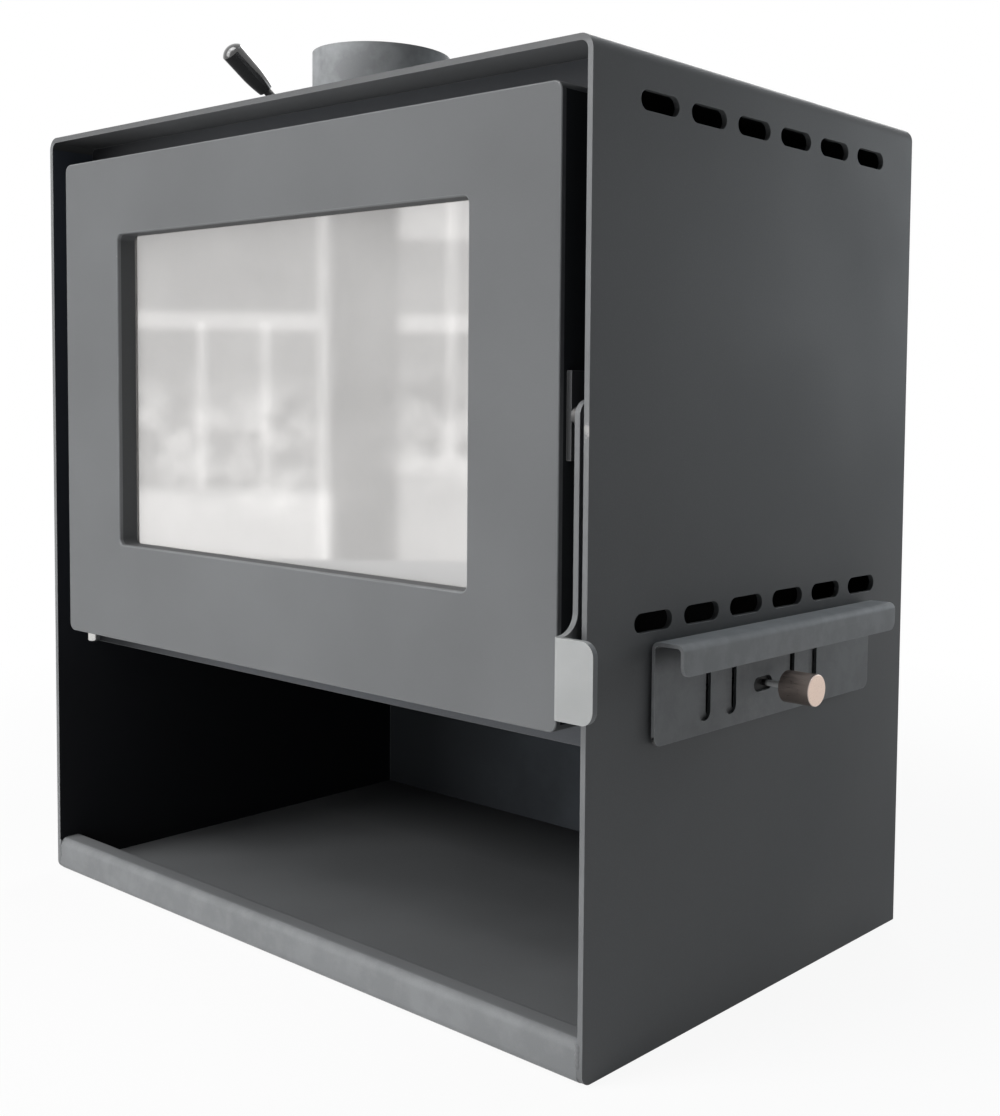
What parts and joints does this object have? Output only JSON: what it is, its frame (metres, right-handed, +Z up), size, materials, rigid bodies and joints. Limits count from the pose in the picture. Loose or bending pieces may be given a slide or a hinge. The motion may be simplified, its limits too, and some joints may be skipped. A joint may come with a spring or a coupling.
{
  "type": "wood-burning fireplace",
  "caption": "Freestanding painted-steel wood-burning fireplace with a hinged glass door, latch handle, log store, side air slider and a flue collar with a lever damper.",
  "frame": {"origin": "on the floor, under the middle of the casing", "axes": "+Z up; +X to the right of someone facing the door; +Y to the back"},
  "size_m": [0.785, 0.47, 0.8223],
  "materials": {
    "charcoal_paint": "matt",
    "firebox_black": "matt",
    "refractory": "matt",
    "bare_steel": "satin",
    "grate_iron": "matt",
    "latch_grey": "satin",
    "fire_glass": "clear",
    "rope_seal": "matt",
    "black_grip": "gloss",
    "bronze_knob": "satin"
  },
  "bodies": {
    "stove": {"outer_casing": "charcoal_paint", "base_tray": "charcoal_paint", "back_panel": "charcoal_paint", "log_store_roof": "charcoal_paint", "front_frame": "charcoal_paint", "flue_collar": "charcoal_paint", "damper_bushes": "charcoal_paint", "hinge_lug_lower": "charcoal_paint", "hinge_lug_upper": "charcoal_paint", "latch_keeper": "charcoal_paint", "air_plate": "charcoal_paint", "air_guides": "charcoal_paint", "firebox_left_wall": "firebox_black", "firebox_right_wall": "firebox_black", "firebox_back_wall": "firebox_black", "firebox_roof": "firebox_black", "hearth_posts": "firebox_black", "log_guard": "firebox_black", "air_duct": "firebox_black", "hearth_slab": "refractory", "liner_left": "refractory", "liner_right": "refractory", "liner_back": "refractory", "baffle": "refractory", "hearth_grate": "grate_iron"},
    "door": {"door_panel": "charcoal_paint", "window_surround": "charcoal_paint", "glass_gasket": "rope_seal", "glass_pane": "fire_glass", "glass_clips": "bare_steel", "clip_screws": "bare_steel", "seal_carrier": "firebox_black", "door_seal": "rope_seal", "hinge_pin_lower": "bare_steel", "hinge_pin_upper": "bare_steel", "hinge_washers": "bare_steel", "latch_pivot_pad": "charcoal_paint", "latch_spacer": "bare_steel", "latch_bolt": "bare_steel", "latch_nut": "bare_steel"},
    "latch": {"latch_handle": "latch_grey"},
    "air_control": {"air_slider": "charcoal_paint", "air_rod": "bare_steel", "air_knob": "bronze_knob"},
    "damper": {"damper_spindle": "bare_steel", "damper_plate": "firebox_black", "damper_screws": "bare_steel", "damper_stop_ring": "bare_steel", "damper_grip": "black_grip"}
  },
  "joints": [
    {"name": "door_hinge", "type": "hinge", "parent": "stove", "child": "door", "pos_m": [-0.322, -0.207, 0.4875], "axis": [0, 0, -1], "range_deg": [0, 110]},
    {"name": "latch_lever", "type": "hinge", "parent": "door", "child": "latch", "pos_m": [0.352, -0.211, 0.484], "axis": [-1, 0, 0], "range_deg": [-3.6, 20]},
    {"name": "air_slide", "type": "slide", "parent": "stove", "child": "air_control", "axis": [0, 1, 0], "range_m": [-0.013, 0.004]},
    {"name": "flue_damper", "type": "hinge", "parent": "stove", "child": "damper", "pos_m": [0, -0.1025, 0.76], "axis": [1, 0, 0], "range_deg": [-52, 32]}
  ]
}
